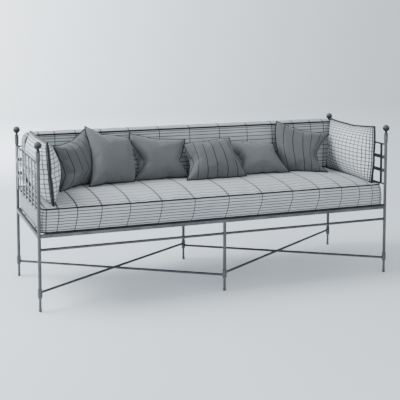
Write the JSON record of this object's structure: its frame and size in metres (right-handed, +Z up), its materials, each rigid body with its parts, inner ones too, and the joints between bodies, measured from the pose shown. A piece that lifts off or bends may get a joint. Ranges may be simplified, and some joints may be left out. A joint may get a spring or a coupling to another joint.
{
  "type": "daybed",
  "caption": "Long metal daybed with ball finials, slat-lattice arms and back, crossed stretchers, a crowned seat cushion, back and arm cushions and loose pillows.",
  "frame": {"origin": "on the floor, under the middle of the frame", "axes": "+X along the length, +Y from the front to the back, +Z up"},
  "size_m": [2.1496, 0.7476, 0.912],
  "materials": {
    "frame_metal": "satin grey paint",
    "finial_metal": "darker grey paint, satin",
    "cushion_fabric": "light grey cotton with fine charcoal lines",
    "arm_fabric": "pale grey cotton with a fine charcoal grid",
    "pillow_plain": "plain charcoal cotton",
    "pillow_stripe": "charcoal cotton with narrow black stripes",
    "piping": "near-black corded piping"
  },
  "bodies": {
    "root": {"corner_post_front_left": "frame_metal", "corner_post_front_right": "frame_metal", "corner_post_back_left": "frame_metal", "corner_post_back_right": "frame_metal", "middle_leg_front": "frame_metal", "middle_leg_back": "frame_metal", "finial_ball_front_left": "finial_metal", "finial_ball_front_right": "finial_metal", "finial_ball_back_left": "finial_metal", "finial_ball_back_right": "finial_metal", "finial_sleeve_front_left": "frame_metal", "finial_sleeve_front_right": "frame_metal", "finial_sleeve_back_left": "frame_metal", "finial_sleeve_back_right": "frame_metal", "leg_collar_front_left": "frame_metal", "leg_collar_front_middle": "frame_metal", "leg_collar_front_right": "frame_metal", "leg_collar_back_left": "frame_metal", "leg_collar_back_middle": "frame_metal", "leg_collar_back_right": "frame_metal", "foot_front_left": "frame_metal", "foot_front_middle": "frame_metal", "foot_front_right": "frame_metal", "foot_back_left": "frame_metal", "foot_back_middle": "frame_metal", "foot_back_right": "frame_metal", "seat_rail_front": "frame_metal", "seat_rail_back": "frame_metal", "seat_rail_left": "frame_metal", "seat_rail_right": "frame_metal", "front_lower_rail_left": "frame_metal", "front_lower_rail_right": "frame_metal", "stretcher_front_left_to_back_middle": "frame_metal", "stretcher_front_middle_to_back_right": "frame_metal", "stretcher_back_left_to_front_middle": "frame_metal", "stretcher_back_middle_to_front_right": "frame_metal", "arm_top_rail_left": "frame_metal", "arm_top_rail_right": "frame_metal", "back_top_rail": "frame_metal", "arm_bottom_rail_left": "frame_metal", "arm_bottom_rail_right": "frame_metal", "back_bottom_rail": "frame_metal", "arm_lattice_left": "frame_metal", "arm_lattice_right": "frame_metal", "back_lattice": "frame_metal", "seat_deck": "frame_metal", "seat_cross_beam": "frame_metal", "seat_cushion": "cushion_fabric", "back_cushion": "cushion_fabric", "arm_cushion_left": "arm_fabric", "arm_cushion_right": "arm_fabric", "throw_pillow_1": "pillow_stripe", "throw_pillow_2": "pillow_plain", "throw_pillow_3": "pillow_plain", "throw_pillow_4": "pillow_stripe", "throw_pillow_5": "pillow_plain", "throw_pillow_6": "pillow_stripe"}
  },
  "joints": []
}
